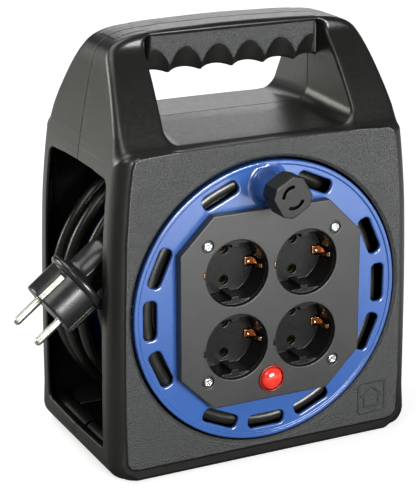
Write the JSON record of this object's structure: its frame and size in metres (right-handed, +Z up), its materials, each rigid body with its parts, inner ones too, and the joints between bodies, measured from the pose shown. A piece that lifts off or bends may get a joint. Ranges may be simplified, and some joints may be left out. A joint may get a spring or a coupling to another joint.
{
  "type": "extension cord reel",
  "caption": "Enclosed extension cord reel: two-part case with a grip handle, crankable drum with earthed sockets and thermal cut-out, wound cable and supply plug.",
  "frame": {"origin": "centre of the base underside, on the ground and on the parting plane between the two shells", "axes": "+Z up; the socket side faces -Y and the drum turns about Y; +X is to the right seen from the front, so the supply plug leaves on the -X side"},
  "size_m": [0.2409, 0.1476, 0.2574],
  "materials": {
    "case_plastic": "moulded ABS with a fine satin grain",
    "blue_plastic": "glossy blue moulding",
    "inner_plastic": "plain moulded",
    "plate_plastic": "satin moulded",
    "knob_plastic": "satin moulded",
    "red_plastic": "glossy, slightly translucent",
    "dark_red_plastic": "glossy",
    "steel": "bright zinc or nickel plate",
    "copper": "bare copper alloy spring strip",
    "brass": "bare pressed brass",
    "cable_rubber": "smooth cable sheath, low sheen",
    "plug_plastic": "moulded, soft sheen"
  },
  "bodies": {
    "case": {"front_shell": "case_plastic", "rear_shell": "case_plastic", "case_screw_1": "steel", "case_screw_2": "steel", "case_screw_3": "steel", "case_screw_4": "steel", "case_screw_5": "steel", "case_screw_6": "steel", "hub_washer": "steel", "hub_screw": "steel"},
    "drum": {"drum_front_flange": "blue_plastic", "drum_core": "inner_plastic", "drum_rear_flange": "blue_plastic", "rear_flange_screw_1": "steel", "rear_flange_screw_2": "steel", "rear_flange_screw_3": "steel", "socket_plate": "plate_plastic", "plate_screw_1": "steel", "plate_screw_2": "steel", "plate_screw_3": "steel", "plate_screw_4": "steel", "earth_contact_tl": "copper", "earth_contact_tr": "copper", "earth_contact_bl": "copper", "earth_contact_br": "copper", "line_busbar": "brass", "neutral_busbar": "brass", "contact_cover": "inner_plastic", "thermal_cutout": "inner_plastic", "button_collar": "dark_red_plastic", "knob_pin": "steel", "cable_coil": "cable_rubber"},
    "knob": {"crank_knob": "knob_plastic"},
    "button": {"reset_button": "red_plastic"},
    "plug": {"plug_body": "plug_plastic", "plug_pin_a": "steel", "plug_pin_b": "steel", "plug_earth_a": "copper", "plug_earth_b": "copper", "plug_strain_relief": "cable_rubber", "plug_cable_tail": "cable_rubber"}
  },
  "joints": [
    {"name": "drum_spin", "type": "hinge", "parent": "case", "child": "drum", "pos_m": [0, 0, 0.0985], "axis": [0, -1, 0], "continuous": true},
    {"name": "knob_spin", "type": "hinge", "parent": "drum", "child": "knob", "pos_m": [0, -0.08, 0.1695], "axis": [0, -1, 0], "continuous": true},
    {"name": "reset_press", "type": "slide", "parent": "drum", "child": "button", "axis": [0, 1, 0], "range_m": [0, 0.0022], "stiffness_N_per_m": 900, "springref_m": -0.002},
    {"name": "plug_pull", "type": "slide", "parent": "case", "child": "plug", "axis": [-0.7924, 0, -0.61], "range_m": [0, 0.045]}
  ]
}
